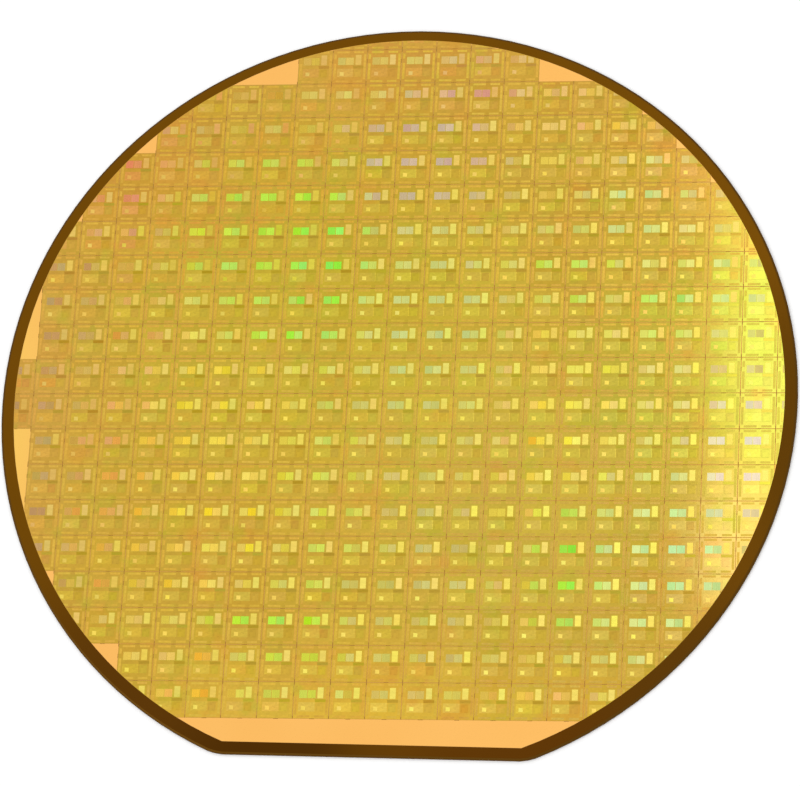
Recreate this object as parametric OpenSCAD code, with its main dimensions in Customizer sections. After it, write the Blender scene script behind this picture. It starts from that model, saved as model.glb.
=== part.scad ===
// Processed silicon wafer with one flat, in millimetres.
// It lies on its back: the origin is the centre of the round rim on the back face, +Z looks out
// of the patterned face, and the flat faces -Y.
// The layers lie on each other: silicon, film, dies, memory blocks.

/* [Silicon disc] */
// Diameter across the round rim
wafer_d = 150; // [120:1:200]
// Thickness of the silicon
wafer_t = 0.675; // [0.55:0.005:0.8]
// Length of the flat
flat_l = 57.5; // [35:0.5:65]
// Radius that blends each end of the flat into the rim
flat_end_r = 10; // [2:1:15]
// Radius of the ground nose all along the edge
nose_r = 0.24; // [0.1:0.01:0.28]
// Slope of the ground bevel between a face and the nose, in degrees
bevel_slope = 22; // [15:1:40]

/* [Film] */
// Bare silicon between the round rim and the film
bare_rim = 2.4; // [1:0.1:5]
// Bare silicon between the flat and the film
bare_flat = 2.4; // [1:0.1:5]
// Place of the film's round, above the wafer's centre
film_up = 0.3; // [-0.6:0.05:0.6]
// Thickness of the film, many times the real one so that it can be handled
film_t = 0.02; // [0.01:0.005:0.05]

/* [Die grid] */
// Distance from die to die along a row
die_pitch_x = 6.67; // [4:0.01:15]
// Distance from row to row
die_pitch_y = 7.01; // [4:0.01:15]
// Width of the sawing streets between the dies
street_w = 0.18; // [0.05:0.01:0.5]
// Turn of the grid against the flat, in degrees
grid_turn = 0.75; // [-2:0.05:2]
// Place of the middle die, to the right of the wafer's centre
grid_right = 1.03; // [-4:0.01:4]
// Place of the middle die, above the wafer's centre
grid_up = -2.54; // [-4:0.01:4]
// How far past the round rim the middle of an exposed die may lie; the film's edge cuts such a die
exposed_past = 1; // [-8:0.5:3]
// Step up from the film to the dies, many times the real one
die_t = 0.02; // [0.01:0.005:0.05]

/* [Memory block on each die] */
// Width of the memory block along X
block_w = 4.6; // [1:0.05:4.8]
// Height of the memory block along Y
block_h = 1.8; // [0.5:0.05:2.5]
// Place of the block, from the left side of the die's pitch
block_left = 0.97; // [0.2:0.01:1.5]
// Place of the block, from the lower side of the die's pitch
block_low = 3.82; // [0.2:0.01:4]
// Step up from the die to the block, many times the real one
block_t = 0.02; // [0.01:0.005:0.05]

/* [Hidden] */

wafer_r = wafer_d / 2;
// From the centre to the flat and to the film's edges
flat_reach = sqrt(wafer_r * wafer_r - flat_l * flat_l / 4);
film_r = wafer_r - bare_rim;
film_reach = flat_reach - bare_flat;
// Past every edge, for cuts
past = wafer_d;

// Centre of the blend at the right end of the flat, and the angle that the blend turns through
blend_low = flat_reach - flat_end_r;
blend_side = sqrt(pow(wafer_r - flat_end_r, 2) - blend_low * blend_low);
blend_angle = atan2(blend_side, blend_low);

// The middle of the die in a column and row, counted from the middle die
function die_place(column, row) =
    let (x = grid_right + column * die_pitch_x, y = grid_up + row * die_pitch_y)
    [x * cos(grid_turn) - y * sin(grid_turn), x * sin(grid_turn) + y * cos(grid_turn)];

// Places near the rim, as column and row, that are left without a die
bare_places = [
    [4, 10], [5, 10], [-4, 10], [-5, 10], [-8, 8], [-11, 3], [-11, 2],
    [-11, -1], [-11, -2], [-10, -5], [-8, -7]
];
function is_bare(die) = len([for (place = bare_places) if (place == die) place]) > 0;

// A die is left unexposed where the film's straight edge would cut through it
function is_exposed(die) =
    let (place = die_place(die[0], die[1]))
    place[1] - die_pitch_y / 2 > -film_reach && norm(place) < wafer_r + exposed_past && !is_bare(die);

columns = ceil(wafer_d / die_pitch_x / 2) + 1;
rows = ceil(wafer_d / die_pitch_y / 2) + 1;
exposed_dies = [
    for (row = [-rows : rows], column = [-columns : columns])
        if (is_exposed([column, row])) [column, row]
];

round_steps = 72;
nose_steps = 16;
// Facets that stand for the blend at each end of the flat
end_facets = 2;

// Section through the edge: a flat bar with a bevel on both sides and a round nose at +X
module edge_section(reach, back) {
    nose_x = reach - nose_r;
    touch_x = nose_x + nose_r * sin(bevel_slope);
    touch_y = nose_r * cos(bevel_slope);
    face_x = touch_x - (wafer_t / 2 - touch_y) / tan(bevel_slope);
    translate([0, wafer_t / 2]) {
        translate([nose_x, 0]) circle(r = nose_r, $fn = nose_steps);
        polygon([
            [-back, -wafer_t / 2], [face_x, -wafer_t / 2], [touch_x, -touch_y],
            [touch_x, touch_y], [face_x, wafer_t / 2], [-back, wafer_t / 2]
        ]);
    }
}

// A round of the wafer with its ground edge
module edge_round(r) {
    rotate_extrude($fn = round_steps) edge_section(r, 0);
}

// All that lies on the wafer's side of a straight edge at that distance from the centre, facing -Y
module straight_side(reach) {
    rotate([90, 0, -90]) linear_extrude(past, center = true) edge_section(reach, past);
}

// The flat, with narrow facets that follow the blend at each of its ends
module silicon_disc() {
    color("#5b3a12")
        intersection() {
            edge_round(wafer_r);
            intersection_for(facet = [-end_facets : end_facets]) {
                turn = facet * blend_angle / (end_facets + 1);
                rotate(turn)
                    straight_side(blend_side * abs(sin(turn)) + blend_low * cos(turn) + flat_end_r);
            }
        }
}

// Outline of the film: a round cut off parallel to the flat
module film_outline() {
    intersection() {
        translate([0, film_up]) circle(r = film_r, $fn = round_steps);
        translate([-past, -film_reach]) square([2 * past, past]);
    }
}

// A copy of the children on every exposed die, cut off where the film ends
module on_dies() {
    intersection() {
        film_outline();
        for (die = exposed_dies)
            translate(die_place(die[0], die[1])) rotate(grid_turn) children();
    }
}

module film() {
    color("#e9b355")
        translate([0, 0, wafer_t]) linear_extrude(film_t) film_outline();
}

module dies() {
    color("#cfa63a")
        translate([0, 0, wafer_t + film_t])
            linear_extrude(die_t)
                on_dies() square([die_pitch_x - street_w, die_pitch_y - street_w], center = true);
}

module memory_blocks() {
    color("#dcd25f")
        translate([0, 0, wafer_t + film_t + die_t])
            linear_extrude(block_t)
                on_dies()
                    translate([block_left - die_pitch_x / 2, block_low - die_pitch_y / 2])
                        square([block_w, block_h]);
}

silicon_disc();
film();
dies();
memory_blocks();
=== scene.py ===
import math

import bmesh
import bpy
from mathutils import Matrix, Quaternion, Vector


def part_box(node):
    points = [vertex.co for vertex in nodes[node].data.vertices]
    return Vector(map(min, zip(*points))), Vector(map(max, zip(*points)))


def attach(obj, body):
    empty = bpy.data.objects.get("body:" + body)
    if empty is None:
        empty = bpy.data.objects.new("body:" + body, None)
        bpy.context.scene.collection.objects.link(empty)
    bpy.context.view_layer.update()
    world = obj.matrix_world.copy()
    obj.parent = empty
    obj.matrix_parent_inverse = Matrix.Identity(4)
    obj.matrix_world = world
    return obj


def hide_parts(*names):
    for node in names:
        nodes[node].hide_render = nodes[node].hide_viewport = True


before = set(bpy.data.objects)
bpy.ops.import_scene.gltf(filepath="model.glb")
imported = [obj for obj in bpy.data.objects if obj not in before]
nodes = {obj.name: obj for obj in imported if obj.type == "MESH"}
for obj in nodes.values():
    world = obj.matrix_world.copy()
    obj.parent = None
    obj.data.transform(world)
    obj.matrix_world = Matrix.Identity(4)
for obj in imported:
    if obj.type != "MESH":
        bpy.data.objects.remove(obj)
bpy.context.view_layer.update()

mm = 0.001

# heights and reaches of the layers, from the frame
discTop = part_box("silicon_disc")[1].z
filmLow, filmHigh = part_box("film")
filmTop = filmHigh.z
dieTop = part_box("dies")[1].z
filmRadius = (filmHigh.x - filmLow.x) / 2
filmMiddle = Vector(((filmHigh.x + filmLow.x) / 2, filmHigh.y - filmRadius))
print("frame loaded, film radius in mm:", round(filmRadius / mm, 3))


# ---- camera, floor and light

cameraView = {
    "aim": (0.92 * mm, 1.04 * mm, dieTop),  # where the middle of the picture meets the dies
    "azimuth": 25.35,  # degrees to the right of the front
    "elevation": 68.14,
    "distance": 862.9 * mm,
    "roll": -23.1,
    "lens": 208.4,
    "sensor": 36,
    "nearest": 0.01,
}


def placeCamera(view):
    azimuth = math.radians(view["azimuth"])
    elevation = math.radians(view["elevation"])
    back = Vector((
        math.sin(azimuth) * math.cos(elevation),
        -math.cos(azimuth) * math.cos(elevation),
        math.sin(elevation),
    ))
    bpy.ops.object.camera_add(location=Vector(view["aim"]) + back * view["distance"])
    camera = bpy.context.object
    camera.name = "camera"
    camera.rotation_mode = "QUATERNION"
    roll = Quaternion((0, 0, 1), math.radians(view["roll"]))
    camera.rotation_quaternion = (-back).to_track_quat("-Z", "Y") @ roll
    camera.data.lens = view["lens"]
    camera.data.sensor_width = view["sensor"]
    camera.data.clip_start = view["nearest"]
    bpy.context.scene.camera = camera


def linearColour(hexText):
    parts = [int(hexText[start:start + 2], 16) / 255 for start in (1, 3, 5)]
    return [part / 12.92 if part <= 0.04045 else ((part + 0.055) / 1.055) ** 2.4 for part in parts] + [1]


# adds a node, sets its properties, and sets or links its inputs
def addNode(tree, kind, inputs, **settings):
    node = tree.nodes.new(kind)
    for name, value in settings.items():
        setattr(node, name, value)
    for socket, value in inputs.items():
        if isinstance(value, bpy.types.NodeSocket):
            tree.links.new(value, node.inputs[socket])
        else:
            node.inputs[socket].default_value = value
    return node


def newMaterial(name):
    material = bpy.data.materials.new(name)
    material.use_nodes = True
    material.node_tree.nodes.clear()
    return material, material.node_tree


def finishMaterial(tree, shader):
    addNode(tree, "ShaderNodeOutputMaterial", {"Surface": shader.outputs[0]})


studio = {
    "floorSize": 6,
    "floorGap": 0.02 * mm,  # a hair of air, so that the floor and the wafer's back don't share a plane
    "floorColour": "#FFFFFF",
    "floorLift": 0.15,  # makes the floor white to the camera and leaves its shadow
    "worldOnObject": 0.8,  # what the world gives to diffuse light, where 1 is white
    "keyPlace": (-0.9, -0.5, 1.3),
    "keySize": 0.8,
    "keyPower": 4.0,
    "windowPlace": (0.037, 0.373, 1.0),  # seen mirrored in the dies near the rim on the right
    "windowSize": (0.15, 0.20),
    "windowPower": 0.088,
}


def buildStudio(setting):
    bpy.ops.mesh.primitive_plane_add(size=setting["floorSize"], location=(0, 0, -setting["floorGap"]))
    floor = bpy.context.object
    floor.name = "paleFloor"
    material, tree = newMaterial("matt white paper")
    path = addNode(tree, "ShaderNodeLightPath", {})
    lift = addNode(tree, "ShaderNodeMath", {
        0: path.outputs["Is Camera Ray"], 1: setting["floorLift"]}, operation="MULTIPLY")
    finishMaterial(tree, addNode(tree, "ShaderNodeBsdfPrincipled", {
        "Base Color": linearColour(setting["floorColour"]),
        "Roughness": 1.0,
        "Specular IOR Level": 0.0,
        "Emission Color": (1, 1, 1, 1),
        "Emission Strength": lift.outputs[0],
    }))
    floor.data.materials.append(material)

    world = bpy.data.worlds.new("white studio")
    bpy.context.scene.world = world
    world.use_nodes = True
    tree = world.node_tree
    tree.nodes.clear()
    path = addNode(tree, "ShaderNodeLightPath", {})
    seen = addNode(tree, "ShaderNodeMath", {
        0: path.outputs["Is Camera Ray"], 1: path.outputs["Is Glossy Ray"]}, operation="MAXIMUM")
    seen = addNode(tree, "ShaderNodeMath", {
        0: seen.outputs[0], 1: path.outputs["Is Transmission Ray"]}, operation="MAXIMUM")
    strength = addNode(tree, "ShaderNodeMapRange", {
        "Value": seen.outputs[0], "To Min": setting["worldOnObject"], "To Max": 1.0})
    shader = addNode(tree, "ShaderNodeBackground", {"Color": (1, 1, 1, 1), "Strength": strength.outputs[0]})
    addNode(tree, "ShaderNodeOutputWorld", {"Surface": shader.outputs[0]})

    bpy.ops.object.light_add(type="AREA", location=setting["keyPlace"])
    key = bpy.context.object
    key.name = "softKey"
    key.data.size = setting["keySize"]
    key.data.energy = setting["keyPower"]
    key.rotation_euler = (-Vector(setting["keyPlace"])).to_track_quat("-Z", "Y").to_euler()

    bpy.ops.object.light_add(type="AREA", location=setting["windowPlace"])
    window = bpy.context.object
    window.name = "windowLamp"
    window.data.shape = "RECTANGLE"
    window.data.size, window.data.size_y = setting["windowSize"]
    window.data.energy = setting["windowPower"]


placeCamera(cameraView)
buildStudio(studio)
bpy.context.scene.view_settings.view_transform = "Standard"
print("camera, floor and lights placed")


# ---- the grid of dies

dieGrid = {
    "pitchX": 6.67,  # mm, as all lengths here
    "pitchY": 7.01,
    "street": 0.18,
    "turn": math.radians(0.75),
    "right": 1.03,
    "up": -2.54,
    "exposedRadius": 76,  # a die with its middle within this is exposed
    "barePlaces": (  # columns and rows near the rim that are left without a die
        (4, 10), (5, 10), (-4, 10), (-5, 10), (-8, 8), (-11, 3), (-11, 2),
        (-11, -1), (-11, -2), (-10, -5), (-8, -7),
    ),
    "reach": 12,  # columns and rows tried each way from the middle die
    "edgeGap": 0.04,  # what stands on the dies ends this far inside the film's edge
    "edgeReserve": 0.5,  # a die whose corner comes this near to the film's edge is cut there too
    "cutterHeight": 4,
    "facets": 72,  # as the film's round
}
pitchX = dieGrid["pitchX"] * mm
pitchY = dieGrid["pitchY"] * mm


# takes a pattern drawn from a die's left and lower pitch lines to its place on the wafer
def dieMatrix(column, row):
    corner = Vector((
        dieGrid["right"] * mm + (column - 0.5) * pitchX,
        dieGrid["up"] * mm + (row - 0.5) * pitchY,
        0,
    ))
    return Matrix.Rotation(dieGrid["turn"], 4, "Z") @ Matrix.Translation(corner)


def isExposed(column, row):
    middle = (dieMatrix(column, row) @ Vector((pitchX / 2, pitchY / 2, 0))).xy
    inRound = middle.length < dieGrid["exposedRadius"] * mm
    return middle.y - pitchY / 2 > filmLow.y and inRound and (column, row) not in dieGrid["barePlaces"]


def crossesEdge(column, row):
    corners = [dieMatrix(column, row) @ Vector((x * pitchX, y * pitchY, 0)) for x in (0, 1) for y in (0, 1)]
    furthest = max((corner.xy - filmMiddle).length for corner in corners)
    return furthest > filmRadius - dieGrid["edgeReserve"] * mm


steps = range(-dieGrid["reach"], dieGrid["reach"] + 1)
exposedDies = [(column, row) for row in steps for column in steps if isExposed(column, row)]
edgeDies = [die for die in exposedDies if crossesEdge(*die)]
innerDies = [die for die in exposedDies if die not in edgeDies]
print("exposed dies:", len(exposedDies), "of which the film's edge cuts", len(edgeDies))


# ---- modelling

upright = 0.9  # a face whose normal has this much of a direction faces that way


def deselectAll():
    bpy.ops.object.select_all(action="DESELECT")


# in edit mode: selects just the faces that pass the test
def selectFaces(piece, test):
    bpy.ops.mesh.select_all(action="DESELECT")
    shape = bmesh.from_edit_mesh(piece.data)
    for face in shape.faces:
        if test(face):
            face.select_set(True)
    bmesh.update_edit_mesh(piece.data)


# a low block; its box is left, low, right, high in mm from the die's left and lower pitch lines
def addBlock(box, foot, rise):
    left, low, right, high = box
    deselectAll()
    middle = ((left + right) / 2 * mm, (low + high) / 2 * mm, foot + rise * mm / 2)
    bpy.ops.mesh.primitive_cube_add(size=1, location=middle)
    block = bpy.context.object
    block.scale = ((right - left) * mm, (high - low) * mm, rise * mm)
    bpy.ops.object.transform_apply(location=True, rotation=True, scale=True)
    return block


# a low block whose top edges are etched back
def addEtched(box, foot, rise, slope=0.04):
    block = addBlock(box, foot, rise)
    bpy.ops.object.mode_set(mode="EDIT")
    selectFaces(block, lambda face: face.normal.z > upright)
    bpy.ops.mesh.inset(thickness=slope * mm, depth=rise * mm / 2)
    bpy.ops.object.mode_set(mode="OBJECT")
    return block


def joinPieces(pieces, name):
    deselectAll()
    for piece in pieces:
        piece.select_set(True)
    bpy.context.view_layer.objects.active = pieces[0]
    if len(pieces) > 1:
        bpy.ops.object.join()
    joined = bpy.context.object
    bpy.ops.object.transform_apply(location=True, rotation=True, scale=True)
    joined.name = joined.data.name = name
    return joined


def copiesOf(pattern, dies):
    copies = []
    for column, row in dies:
        copy = pattern.copy()
        copy.data = pattern.data.copy()
        copy.matrix_world = dieMatrix(column, row)
        bpy.context.scene.collection.objects.link(copy)
        copies.append(copy)
    return copies


# the space over the film: a round with its low side cut off parallel to the flat
def addFilmCutter():
    deselectAll()
    gap = dieGrid["edgeGap"] * mm
    bpy.ops.mesh.primitive_cylinder_add(
        vertices=dieGrid["facets"], radius=filmRadius - gap, depth=dieGrid["cutterHeight"] * mm,
        location=(filmMiddle.x, filmMiddle.y, dieTop))
    cutter = bpy.context.object
    bpy.ops.object.mode_set(mode="EDIT")
    bpy.ops.mesh.select_all(action="SELECT")
    bpy.ops.mesh.bisect(plane_co=(0, filmLow.y + gap, 0), plane_no=(0, 1, 0), clear_inner=True, use_fill=True)
    bpy.ops.object.mode_set(mode="OBJECT")
    return cutter


# a copy of the pattern on every exposed die, cut off where the film ends
def repeatOnDies(parts, name):
    pattern = joinPieces(parts, name + "Pattern")
    edge = joinPieces(copiesOf(pattern, edgeDies), name + "Edge")
    cutter = addFilmCutter()
    deselectAll()
    edge.select_set(True)
    bpy.context.view_layer.objects.active = edge
    cut = edge.modifiers.new("filmEdge", "BOOLEAN")
    cut.operation = "INTERSECT"
    cut.solver = "MANIFOLD"
    cut.object = cutter
    bpy.ops.object.modifier_apply(modifier=cut.name)
    bpy.data.objects.remove(cutter)
    piece = joinPieces(copiesOf(pattern, innerDies) + [edge], name)
    bpy.data.objects.remove(pattern)
    print(name, "faces:", len(piece.data.polygons))
    return piece


def finishPiece(piece, look, replaced=()):
    piece.data.materials.clear()
    piece.data.materials.append(layerMaterial(look))
    for node in replaced:
        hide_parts(node)
    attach(piece, "root")


# ---- how the layers' materials are made

# where a point is on the wafer, for a material: the die's column and row as whole numbers,
# the same with fractions, and the place within the die in mm from its left and lower pitch lines
def gridPlaces(tree):
    coordinates = addNode(tree, "ShaderNodeTexCoord", {})
    turned = addNode(tree, "ShaderNodeMapping", {
        "Vector": coordinates.outputs["Object"],
        "Rotation": (0, 0, -dieGrid["turn"]),
        "Location": (pitchX / 2 - dieGrid["right"] * mm, pitchY / 2 - dieGrid["up"] * mm, 0),
    })
    inDies = addNode(tree, "ShaderNodeVectorMath", {0: turned.outputs[0], 1: (pitchX, pitchY, 1)},
                     operation="DIVIDE")
    whole = addNode(tree, "ShaderNodeVectorMath", {0: inDies.outputs[0]}, operation="FLOOR")
    part = addNode(tree, "ShaderNodeVectorMath", {0: inDies.outputs[0]}, operation="FRACTION")
    inDie = addNode(tree, "ShaderNodeVectorMath", {
        0: part.outputs[0], 1: (dieGrid["pitchX"], dieGrid["pitchY"], 0)}, operation="MULTIPLY")
    flowing = addNode(tree, "ShaderNodeVectorMath", {
        0: inDies.outputs[0], 1: (-0.5, -0.5, 0)}, operation="ADD")
    return whole.outputs[0], flowing.outputs[0], inDie.outputs[0], coordinates.outputs["Object"]


# lays soft oval fields of colour over a colour, one after another;
# each has a middle and a reach in columns and rows, a colour and a strength
def paintFields(tree, colour, place, fields, core=0.2):
    for note, column, row, reachColumns, reachRows, hexText, strength in fields:
        scaled = addNode(tree, "ShaderNodeVectorMath", {
            0: place,
            1: (1 / reachColumns, 1 / reachRows, 0),
            2: (-column / reachColumns, -row / reachRows, 0),
        }, operation="MULTIPLY_ADD", label=note)
        away = addNode(tree, "ShaderNodeVectorMath", {0: scaled.outputs[0]}, operation="LENGTH")
        cover = addNode(tree, "ShaderNodeMapRange", {
            "Value": away.outputs["Value"], "From Min": core, "From Max": 1.0,
            "To Min": strength, "To Max": 0.0,
        }, interpolation_type="SMOOTHSTEP")
        mixed = addNode(tree, "ShaderNodeMix", {
            0: cover.outputs[0], 6: colour, 7: linearColour(hexText)}, data_type="RGBA")
        colour = mixed.outputs[2]
    return colour


# cloudy patches, where the layers differ a little in thickness: size in mm, colour, seed
patches = {
    "clouds": ((9, "#DB9238", 3.0), (6, "#AEB22E", 11.0)),
    "detail": 3.0, "roughness": 0.6,
    "starts": 0.52, "full": 0.72,  # of the noise, where a patch begins and where it has its whole colour
}


def paintPatches(tree, colour, objectPlace, strength):
    for size, hexText, seed in patches["clouds"]:
        cloud = addNode(tree, "ShaderNodeTexNoise", {
            "Vector": objectPlace, "W": seed, "Scale": 1 / (size * mm),
            "Detail": patches["detail"], "Roughness": patches["roughness"],
        }, noise_dimensions="4D")
        cover = addNode(tree, "ShaderNodeMapRange", {
            "Value": cloud.outputs[0], "From Min": patches["starts"], "From Max": patches["full"],
            "To Min": 0.0, "To Max": strength,
        }, interpolation_type="SMOOTHSTEP")
        mixed = addNode(tree, "ShaderNodeMix", {
            0: cover.outputs[0], 6: colour, 7: linearColour(hexText)}, data_type="RGBA")
        colour = mixed.outputs[2]
    return colour


# small circuit blocks within a die, the same on every die; width and height in mm;
# the real ones are far finer, and these are drawn as coarse as they need to show
def grainValue(tree, inDie, width, height, strength):
    scaled = addNode(tree, "ShaderNodeVectorMath", {0: inDie, 1: (width, height, 1)}, operation="DIVIDE")
    snapped = addNode(tree, "ShaderNodeVectorMath", {0: scaled.outputs[0]}, operation="FLOOR")
    chance = addNode(tree, "ShaderNodeTexWhiteNoise", {"Vector": snapped.outputs[0]}, noise_dimensions="3D")
    return addNode(tree, "ShaderNodeMapRange", {
        "Value": chance.outputs["Value"], "To Min": 1 - strength, "To Max": 1 + strength}).outputs[0]


# the ups and downs of the oxide over the wiring, which stir a lamp's reflection; mm
relief = {
    "width": 0.3,  # the real wiring is a hundred times narrower
    "height": 0.001, "strength": 0.5, "detail": 1.0,
}


# all layers on the dies: metal or a grating seen through clear oxide
def layerMaterial(look):
    material, tree = newMaterial(look["name"])
    whole, flowing, inDie, objectPlace = gridPlaces(tree)
    place = whole if look["snapped"] else flowing
    if "halves" in look:  # banks side by side take the fields' colours a little apart
        split = addNode(tree, "ShaderNodeSeparateXYZ", {0: inDie})
        half = addNode(tree, "ShaderNodeMath", {
            0: split.outputs[0], 1: look["halves"]}, operation="GREATER_THAN")
        step = addNode(tree, "ShaderNodeCombineXYZ", {0: half.outputs[0], 2: half.outputs[0]})
        apart = addNode(tree, "ShaderNodeVectorMath", {
            0: step.outputs[0], 1: (look["apart"], 0, 1), 2: whole}, operation="MULTIPLY_ADD")
        place = whole = apart.outputs[0]
    colour = paintFields(tree, linearColour(look["colour"]), place, look["fields"])
    colour = paintPatches(tree, colour, objectPlace, look["patches"])
    chance = addNode(tree, "ShaderNodeTexWhiteNoise", {
        "Vector": whole, "W": look["seed"]}, noise_dimensions="4D")
    parts = addNode(tree, "ShaderNodeSeparateColor", {0: chance.outputs["Color"]})
    hue = addNode(tree, "ShaderNodeMapRange", {
        "Value": parts.outputs[0], "To Min": 0.5 - look["hue"], "To Max": 0.5 + look["hue"]})
    value = addNode(tree, "ShaderNodeMapRange", {
        "Value": parts.outputs[1], "To Min": 1 - look["value"], "To Max": 1 + look["value"]})
    grain = grainValue(tree, inDie, *look["grain"])
    value = addNode(tree, "ShaderNodeMath", {0: value.outputs[0], 1: grain}, operation="MULTIPLY")
    fullness = addNode(tree, "ShaderNodeMapRange", {
        "Value": parts.outputs[2], "To Min": 1 - look["fullness"], "To Max": 1 + look["fullness"]})
    varied = addNode(tree, "ShaderNodeHueSaturation", {
        "Hue": hue.outputs[0], "Saturation": fullness.outputs[0], "Value": value.outputs[0], "Color": colour})
    dull = addNode(tree, "ShaderNodeMath", {0: grain, 1: look["roughness"]}, operation="MULTIPLY")
    wiring = addNode(tree, "ShaderNodeTexNoise", {
        "Vector": inDie, "Scale": 1 / relief["width"], "Detail": relief["detail"]})
    bump = addNode(tree, "ShaderNodeBump", {
        "Strength": relief["strength"], "Distance": relief["height"] * mm, "Height": wiring.outputs[0]})
    shader = addNode(tree, "ShaderNodeBsdfPrincipled", {
        "Base Color": varied.outputs[0], "Metallic": look["metallic"], "Roughness": dull.outputs[0],
        "Normal": bump.outputs[0]})
    finishMaterial(tree, shader)
    return material


# ---- fields of colour that the wafer shows: name, column, row, columns and rows reached, colour, strength

groundFields = [
    ("olive middle", -2, 2.5, 9, 6.5, "#C6AE34", 0.8),
    ("straw right of the middle", 3, -2.0, 7, 7, "#CEB440", 0.8),
    ("orange top", 0, 11.5, 12, 4, "#D29E40", 0.9),
    ("orange left", -12, 0, 4.4, 9, "#CE9C44", 0.9),
    ("orange upper left", -8.5, 7.5, 4.5, 3.5, "#D0983A", 0.8),
    ("amber bottom", 0, -10.2, 12, 5.0, "#E0B63C", 0.9),
    ("orange upper right", 8.4, 7.2, 2.6, 2.6, "#DCAC48", 0.8),
    ("olive right", 7.0, 1.2, 2.8, 5.6, "#C6B63C", 0.8),
    # partly the layers' tint and partly painted glare, where the window lamp's reflection falls
    ("lemon at the rim on the right", 10.4, 2.0, 2.7, 6.6, "#C2C24A", 0.95),
    ("amber at the rim below it", 9.4, -4.0, 2.2, 3.2, "#D8B860", 0.9),
]

logicFields = [
    ("olive middle", -1, 2.5, 8, 7, "#CDB83C", 0.8),
    ("straw right of the middle", 4, -1.5, 6, 7, "#D6C04E", 0.8),
    ("orange top", -1, 11.5, 12, 4.5, "#DCA64A", 0.9),
    ("orange upper left", -9, 7, 4.5, 4.5, "#E09C4E", 0.8),
    ("orange left", -12, 0, 4.2, 10, "#D89A42", 0.9),
    ("amber bottom", 0, -10.4, 13, 5.2, "#ECC44C", 0.9),
    ("peach upper right", 7.6, 7.6, 3.4, 2.8, "#E4B65C", 0.9),
    ("pale right", 9, -4, 4.4, 5, "#DCBC5C", 0.8),
    ("olive right", 7.2, 1.2, 2.6, 5.4, "#CEC64A", 0.8),
    # partly the layers' tint and partly painted glare, where the window lamp's reflection falls
    ("lemon at the rim on the right", 10.0, 2.4, 2.6, 5.8, "#C4CA4C", 0.95),
]

frameFields = [
    ("amber upper left", -5, 6, 7, 5, "#D8A63A", 0.8),
    ("olive middle", -1, 2, 6, 5, "#D2B23C", 0.8),
    ("orange left", -12, 2, 4.2, 10, "#DAA448", 0.9),
    ("dull right", 5.4, -3.4, 7, 9, "#C6A248", 0.8),
    # partly the pads' tint and partly painted glare, where the window lamp's reflection falls
    ("olive at the rim on the right", 10.0, 0.6, 2.6, 6.0, "#C6B844", 0.9),
]

channelFields = [
    ("orange top", 0, 11, 12, 4.5, "#C2963C", 0.9),
    ("orange brown left", -11, 1, 4.5, 9, "#B88C2C", 0.9),
    ("olive left of the middle", -5, 2.5, 5, 7, "#B49622", 0.8),
    ("olive right of the middle", 3, -2, 7, 8, "#BAA432", 0.8),
    ("ochre bottom", -3, -9.5, 10, 3.4, "#C2A02C", 0.8),
    # partly the oxide's tint and partly painted glare, where the window lamp's reflection falls
    ("lime at the rim on the right", 10, 0.5, 3.0, 7, "#CCBC40", 0.95),
]

barFields = [
    ("tan top left", -6.5, 8.5, 8, 5.5, "#DEAC54", 1.0),
    ("tan left", -11.0, -1, 6, 9, "#DEB45A", 0.9),
    ("tan top", 2, 10.0, 7, 3.6, "#E4BA6A", 0.9),
    ("olive left of the middle", -5, 4.8, 4.5, 3, "#D2C43C", 0.9),
    ("lime yellow middle", 0.5, 2.4, 4, 3.6, "#E4E068", 0.8),
    ("pale yellow low right", 3.5, -5.4, 10, 6, "#F8E466", 0.9),
    ("peach upper right", 7.5, 6.6, 3, 2.4, "#F8CC6A", 0.9),
    # partly the rails' tint and partly painted glare, where the window lamp's reflection falls
    ("yellow right", 10.5, 0, 4, 6, "#F4E25C", 1.0),
]

# painted reflection: the diffraction colours the banks show from one angle, laid down by place
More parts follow.
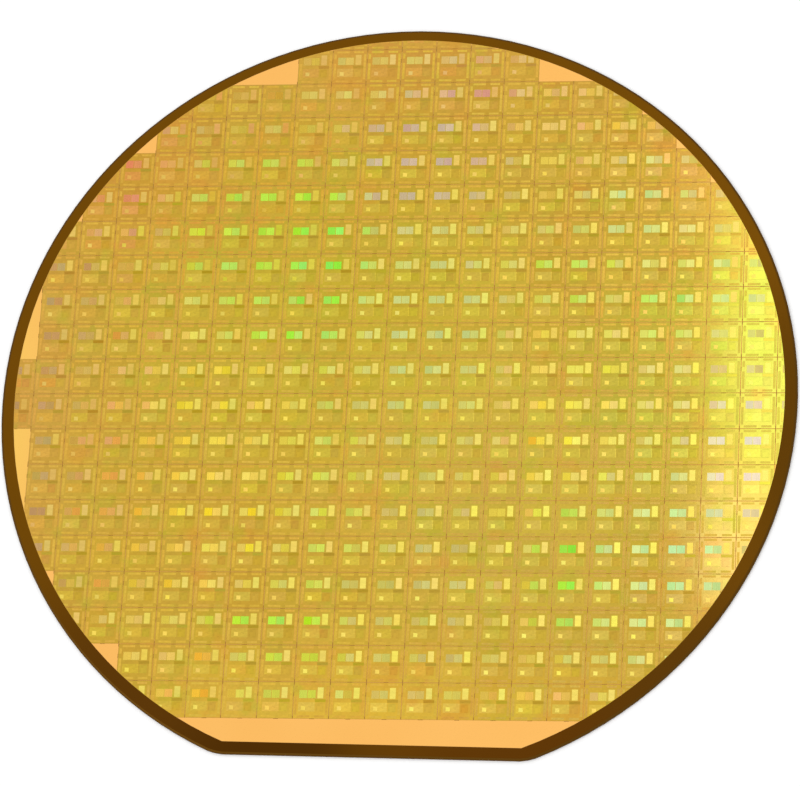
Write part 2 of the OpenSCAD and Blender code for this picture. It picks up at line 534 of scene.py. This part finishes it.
bankFields = [
    ("warm brown at the left rim", -10.5, 0, 4.6, 13, "#C29C58", 1.0),
    ("orange inside it", -7.4, -1.5, 2.4, 8, "#E4AC4A", 0.9),
    ("salmon upper left", -8.2, 6.6, 2.8, 3.2, "#E49664", 0.9),
    ("gold top left", -4.6, 8.8, 3.0, 1.8, "#D2A440", 0.9),
    ("yellow left of the middle", -4.8, -1.5, 3.2, 7.0, "#F2D244", 1.0),
    ("lime left of the middle", -1.7, -2.6, 1.8, 6.2, "#D2DC50", 0.9),
    ("green upper left", -3.6, 4.8, 4.2, 4.0, "#BEE640", 1.0),
    ("greener tip", -1.9, 4.2, 1.6, 3.2, "#90F04A", 0.9),
    ("green below the tip", -3.0, 2.1, 2.2, 1.3, "#B2EC50", 0.9),
    ("green low left", -2.9, -6, 2.7, 1.3, "#A8E838", 1.0),
    ("gold low left", -5.4, -7.6, 3.0, 1.6, "#F0BC48", 0.9),
    ("lime below the green", -2.3, -7.4, 2.9, 1.7, "#CCDC4C", 0.8),
    ("lilac top", 0.6, 7.0, 3.2, 3.0, "#D0B29C", 1.0),
    ("rose top", 2.0, 9.2, 2.6, 1.4, "#DEA48A", 0.9),
    ("pale green middle", 1.0, 2.0, 3.0, 5.4, "#CED478", 1.0),
    ("olive below the middle", 1.2, -5.0, 2.9, 4.8, "#CCC066", 0.95),
    ("amber strip", 4.0, -1.0, 1.3, 8.0, "#F2CA4A", 0.95),
    ("amber top right", 5.4, 8.0, 3.6, 2.2, "#EEBC58", 1.0),
    ("amber low right", 4.6, -8.2, 2.4, 1.6, "#EEBE56", 0.9),
    ("pale yellow right", 8.0, 2.4, 3.4, 6.4, "#EEDE74", 1.0),
    ("pale lime upper right", 6.6, 5.8, 2.2, 2.0, "#D8E68E", 0.9),
    ("yellow strip", 5.5, -0.4, 1.8, 4.0, "#F8E64C", 0.95),
    ("green upper right", 4.9, 3.8, 2.2, 1.9, "#C2E452", 0.9),
    ("green right", 7.6, 2.8, 1.3, 1.6, "#AEEA58", 0.9),
    ("pale lime low right", 7.4, -4.6, 3.0, 4.6, "#DAE88E", 0.95),
    ("green low right", 5.1, -4.6, 1.4, 3.0, "#A2E83C", 1.0),
    ("mint at the low right rim", 8.5, -4.2, 2.0, 2.6, "#C4F0A0", 0.9),
    # these two pale fields at the rim on the right are partly painted glare, where the window lamp's
    # reflection falls
    ("pale lime at the rim", 9.6, 3.2, 1.8, 2.2, "#DCEE84", 0.9),
    ("cream right", 9.9, -1.3, 2.0, 3.1, "#F4E4C8", 0.95),
]


# ---- pieces on every die; boxes are left, low, right, high in mm from the die's left and lower pitch lines

# probe and bond pads in rows along the die's sides, with free corners
padRows = {
    "boxes": [
        (0.80, 0.27, 3.15, 0.66), (4.05, 0.27, 5.87, 0.66),
        (0.80, 6.35, 3.15, 6.74), (4.05, 6.35, 5.87, 6.74),
        (0.25, 0.85, 0.68, 4.20), (0.25, 5.10, 0.68, 6.20),
        (5.99, 0.85, 6.42, 6.20),
    ],
    "rise": 0.006, "slope": 0.03,
}
# aluminium pads under polyimide: bright even gold, a little dull
padLook = {
    "name": "etched aluminium pads", "seed": 1, "colour": "#DAB042",
    "fields": frameFields, "snapped": False,
    "patches": 0.4, "grain": (0.4, 0.4, 0.07), "hue": 0.007, "fullness": 0.012, "value": 0.04,
    "metallic": 0.9, "roughness": 0.2,
}
padBlocks = [addEtched(box, dieTop, padRows["rise"], padRows["slope"]) for box in padRows["boxes"]]
finishPiece(repeatOnDies(padBlocks, "padRows"), padLook)

# the lanes between the dies, on the film
lanes = {"gap": 0.01, "rise": 0.006}


def addLane(size):
    half = dieGrid["street"] / 2
    left = size["gap"] / 2
    right = dieGrid["pitchX"] - left
    high = dieGrid["pitchY"] - left
    lane = addBlock((left, left, right, high), filmTop, size["rise"])
    bpy.ops.object.mode_set(mode="EDIT")
    selectFaces(lane, lambda face: abs(face.normal.z) > upright)
    bpy.ops.mesh.inset(thickness=(half - size["gap"]) * mm)
    bpy.ops.mesh.bridge_edge_loops()
    bpy.ops.object.mode_set(mode="OBJECT")
    return lane


# plain oxide with traces of every layer: dull brown gold
laneLook = {
    "name": "oxide in the scribe lanes", "seed": 2, "colour": "#C69844",
    "fields": [], "snapped": False,
    "patches": 0.4, "grain": (0.5, 0.5, 0.08), "hue": 0.006, "fullness": 0.02, "value": 0.03,
    "metallic": 0.8, "roughness": 0.25,
}
finishPiece(repeatOnDies([addLane(lanes)], "scribeLanes"), laneLook)

# test structures and marks in the lanes, at the crossings and half way along
laneMarks = {
    "boxes": [
        (-0.06, 0.01, 0.06, 0.55), (-0.06, 6.46, 0.06, 7.00),  # clear of the next die's by 0.02
        (3.15, -0.05, 4.05, 0.05), (-0.05, 4.3, 0.05, 5.1),
    ],
    "rise": 0.010,
}
# thick unpolished metal: dark brown
markLook = {
    "name": "dark test structures", "seed": 3, "colour": "#A27426",
    "fields": [], "snapped": False,
    "patches": 0.1, "grain": (0.2, 0.2, 0.15), "hue": 0.003, "fullness": 0.02, "value": 0.10,
    "metallic": 0.6, "roughness": 0.4,
}
finishPiece(
    repeatOnDies([addBlock(box, filmTop, laneMarks["rise"]) for box in laneMarks["boxes"]], "laneMarks"),
    markLook)

# the memory's ground: wide under the cells, taller under the column bar
macro = {"box": (0.95, 3.80, 5.62, 5.52), "barLeft": 4.30, "barHigh": 6.08, "rise": 0.010}
macroTop = dieTop + macro["rise"] * mm


def addMacro(size):
    block = addBlock(size["box"], dieTop, size["rise"])
    cut = size["barLeft"] * mm
    bpy.ops.object.mode_set(mode="EDIT")
    bpy.ops.mesh.select_all(action="SELECT")
    bpy.ops.mesh.bisect(plane_co=(cut, 0, 0), plane_no=(1, 0, 0))
    selectFaces(block, lambda face: face.normal.y > upright and face.calc_center_median().x > cut)
    grow = (size["barHigh"] - size["box"][3]) * mm
    bpy.ops.mesh.extrude_region_move(TRANSFORM_OT_translate={"value": (0, grow, 0)})
    bpy.ops.object.mode_set(mode="OBJECT")
    return block


# oxide over the memory's supply wiring: olive gold
macroLook = {
    "name": "oxide over memory wiring", "seed": 4, "colour": "#C8AC3E",
    "fields": groundFields, "snapped": True,
    "patches": 0.3, "grain": (0.3, 0.3, 0.05), "hue": 0.008, "fullness": 0.02, "value": 0.05,
    "metallic": 0.9, "roughness": 0.08,
}
finishPiece(repeatOnDies([addMacro(macro)], "memoryMacros"), macroLook, ["memory_blocks"])

# two banks of memory cells, and the bar of column circuits beside them
banks = {"boxes": [(1.05, 3.92, 2.49, 5.43), (2.58, 3.92, 4.06, 5.43)], "rise": 0.006}
# cells so fine and even that they diffract: each bank shows a colour of the rainbow, the diffracted
# reflection of the lights painted in as seen from one angle, and no lamp glints
bankLook = {
    "name": "memory cell grating", "seed": 5, "colour": "#DCC054",
    "fields": bankFields, "snapped": True,
    "halves": 2.53, "apart": 0.35,
    "patches": 0.0, "grain": (0.12, 5, 0.05), "hue": 0.018, "fullness": 0.075, "value": 0.09,
    "metallic": 0.5, "roughness": 0.5,
}
finishPiece(
    repeatOnDies([addEtched(box, macroTop, banks["rise"]) for box in banks["boxes"]], "memoryBanks"),
    bankLook)

bars = {"box": (4.42, 3.90, 5.50, 5.97), "rise": 0.006}
# wide aluminium rails: the brightest yellow
barLook = {
    "name": "wide aluminium rails", "seed": 6, "colour": "#ECD25E",
    "fields": barFields, "snapped": True,
    "patches": 0.2, "grain": (5, 0.15, 0.04), "hue": 0.016, "fullness": 0.035, "value": 0.05,
    "metallic": 0.8, "roughness": 0.2,
}
finishPiece(
    repeatOnDies([addEtched(bars["box"], macroTop, bars["rise"])], "columnBars"), barLook)

# the logic below the memory, its brightest cells, and the darker analog field
logic = {"box": (0.95, 1.38, 4.02, 3.14), "rise": 0.006}
# rows of small cells under several metal layers: mottled gold
logicLook = {
    "name": "standard cell logic", "seed": 7, "colour": "#D6B440",
    "fields": logicFields, "snapped": True,
    "patches": 0.35, "grain": (0.28, 0.2, 0.07), "hue": 0.011, "fullness": 0.02, "value": 0.05,
    "metallic": 0.9, "roughness": 0.08,
}
finishPiece(repeatOnDies([addEtched(logic["box"], dieTop, logic["rise"])], "logicBlocks"), logicLook)

cells = {"box": (1.48, 1.66, 2.24, 2.42), "rise": 0.006}
# repeated cells under wide metal: a small bright yellow square
cellLook = {
    "name": "dense cells under wide metal", "seed": 8, "colour": "#F6D658",
    "fields": barFields, "snapped": True,
    "patches": 0.2, "grain": (0.2, 0.2, 0.05), "hue": 0.015, "fullness": 0.025, "value": 0.06,
    "metallic": 0.8, "roughness": 0.2,
}
finishPiece(
    repeatOnDies([addEtched(cells["box"], dieTop + logic["rise"] * mm, cells["rise"])], "brightCells"),
    cellLook)

analog = {"box": (4.20, 1.38, 5.62, 3.00), "rise": 0.005}
# large parts with room between them: darker gold
analogLook = {
    "name": "analog circuit field", "seed": 9, "colour": "#C8A436",
    "fields": groundFields, "snapped": True,
    "patches": 0.3, "grain": (0.45, 0.4, 0.08), "hue": 0.012, "fullness": 0.015, "value": 0.05,
    "metallic": 0.9, "roughness": 0.08,
}
finishPiece(
    repeatOnDies([addEtched(analog["box"], dieTop, analog["rise"])], "analogBlocks"), analogLook)

channels = {"box": (4.00, 3.18, 6.00, 3.74), "rise": 0.004}
# little metal and much oxide: dark olive brown
channelLook = {
    "name": "bare routing channel", "seed": 10, "colour": "#B89C2E",
    "fields": channelFields, "snapped": True,
    "patches": 0.2, "grain": (0.3, 0.1, 0.08), "hue": 0.018, "fullness": 0.02, "value": 0.06,
    "metallic": 0.9, "roughness": 0.10,
}
finishPiece(
    repeatOnDies([addEtched(channels["box"], dieTop, channels["rise"])], "routingChannels"),
    channelLook)

# oxide over the die's lowest wiring: darker olive gold between the blocks
groundLook = {
    "name": "oxide over the die's ground", "seed": 11, "colour": "#CAA438",
    "fields": groundFields, "snapped": False,
    "patches": 0.4, "grain": (0.35, 0.35, 0.05), "hue": 0.006, "fullness": 0.008, "value": 0.04,
    "metallic": 0.9, "roughness": 0.08,
}
nodes["dies"].data.materials.clear()
nodes["dies"].data.materials.append(layerMaterial(groundLook))
print("dies dressed")


# ---- film and silicon

filmFields = [
    # painted shade: darker ochre where the window lamp's reflection falls on the film, which tones its glare
    # down
    ("ochre at the rim on the right", 10.9, 0, 1.6, 6.5, "#D8AC48", 0.9),
    ("dull low right", 8.5, -8.5, 4, 4, "#E2B25C", 0.9),
    ("straw at the rim on the left", -12, -0.5, 3, 7, "#F8CE60", 0.7),
]
filmLook = {
    "colour": "#FFC168", "warmColour": "#F9B85E", "patch": 20, "detail": 2.0,
    "metallic": 0.95, "roughness": 0.18,
    "spread": 0.1,  # how far the roughness strays from its mean, as a share of it
}


# one even metal film without a pattern, sputtered: smooth pale orange, mirror-like
def filmMaterial(look):
    material, tree = newMaterial("sputtered blanket film")
    flowing, objectPlace = gridPlaces(tree)[1::2]
    cloud = addNode(tree, "ShaderNodeTexNoise", {
        "Vector": objectPlace, "Scale": 1 / (look["patch"] * mm), "Detail": look["detail"]})
    mixed = addNode(tree, "ShaderNodeMix", {
        0: cloud.outputs[0], 6: linearColour(look["colour"]), 7: linearColour(look["warmColour"]),
    }, data_type="RGBA")
    dull = addNode(tree, "ShaderNodeMapRange", {
        "Value": cloud.outputs[0],
        "To Min": look["roughness"] * (1 - look["spread"]),
        "To Max": look["roughness"] * (1 + look["spread"])})
    finishMaterial(tree, addNode(tree, "ShaderNodeBsdfPrincipled", {
        "Base Color": paintFields(tree, mixed.outputs[2], flowing, filmFields),
        "Metallic": look["metallic"], "Roughness": dull.outputs[0]}))
    return material


siliconFields = [
    ("darker right", 11.3, -0.5, 3.5, 6.5, "#563608", 0.95),
    ("darker low right", 7, -8.5, 7, 8, "#5A380A", 1.0),
    ("darker low left", -6.5, -8.3, 6.5, 7, "#5A360A", 0.95),
    ("darker right part of the flat", 3.5, -9.6, 6, 3.5, "#5E3608", 0.9),
    ("darkest left part of the flat", -3, -9.6, 4, 3, "#4C2C06", 0.9),
]
siliconLook = {
    "light": "#744A0A", "dark": "#6A4408", "patch": 12, "detail": 3.0,
    "edge": "#5C3E12", "back": "#7C7873",
    "metallic": 1.0, "roughness": 0.25,
    "edgeRoughness": 0.5, "backRoughness": 0.45,
    "grit": 0.15,  # mm; the real grinding marks are some ten times finer, and would not show
    "gritStrength": 0.3, "gritHeight": 0.01, "gritDetail": 2.0,
    "skin": 0.002,  # what lies this near to a face, in mm, belongs to it
}


# polished silicon with a brown oxide skin; its edge is ground matt, and its back is etched grey
def siliconMaterial(look):
    material, tree = newMaterial("polished, ground and etched silicon")
    flowing, objectPlace = gridPlaces(tree)[1::2]
    split = addNode(tree, "ShaderNodeSeparateXYZ", {0: objectPlace})
    onFace = addNode(tree, "ShaderNodeMath", {
        0: split.outputs[2], 1: discTop - look["skin"] * mm}, operation="GREATER_THAN")
    onBack = addNode(tree, "ShaderNodeMath", {
        0: split.outputs[2], 1: look["skin"] * mm}, operation="LESS_THAN")
    cloud = addNode(tree, "ShaderNodeTexNoise", {
        "Vector": objectPlace, "Scale": 1 / (look["patch"] * mm), "Detail": look["detail"]})
    oxide = addNode(tree, "ShaderNodeMix", {
        0: cloud.outputs[0], 6: linearColour(look["dark"]), 7: linearColour(look["light"]),
    }, data_type="RGBA")
    grit = addNode(tree, "ShaderNodeTexNoise", {
        "Vector": objectPlace, "Scale": 1 / (look["grit"] * mm), "Detail": look["gritDetail"]})
    grey = addNode(tree, "ShaderNodeMix", {
        0: onBack.outputs[0], 6: linearColour(look["edge"]), 7: linearColour(look["back"]),
    }, data_type="RGBA")
    colour = addNode(tree, "ShaderNodeMix", {
        0: onFace.outputs[0], 6: grey.outputs[2],
        7: paintFields(tree, oxide.outputs[2], flowing, siliconFields),
    }, data_type="RGBA")
    dull = addNode(tree, "ShaderNodeMapRange", {
        "Value": onBack.outputs[0], "To Min": look["edgeRoughness"], "To Max": look["backRoughness"]})
    roughness = addNode(tree, "ShaderNodeMapRange", {
        "Value": onFace.outputs[0], "To Min": dull.outputs[0], "To Max": look["roughness"]})
    matt = addNode(tree, "ShaderNodeMapRange", {
        "Value": onFace.outputs[0], "To Min": look["gritStrength"], "To Max": 0.0})
    bump = addNode(tree, "ShaderNodeBump", {
        "Strength": matt.outputs[0], "Distance": look["gritHeight"] * mm, "Height": grit.outputs[0]})
    finishMaterial(tree, addNode(tree, "ShaderNodeBsdfPrincipled", {
        "Base Color": colour.outputs[2], "Metallic": look["metallic"], "Roughness": roughness.outputs[0],
        "Normal": bump.outputs[0]}))
    return material


for name, material in (("film", filmMaterial(filmLook)), ("silicon_disc", siliconMaterial(siliconLook))):
    nodes[name].data.materials.clear()
    nodes[name].data.materials.append(material)
print("film and silicon dressed")
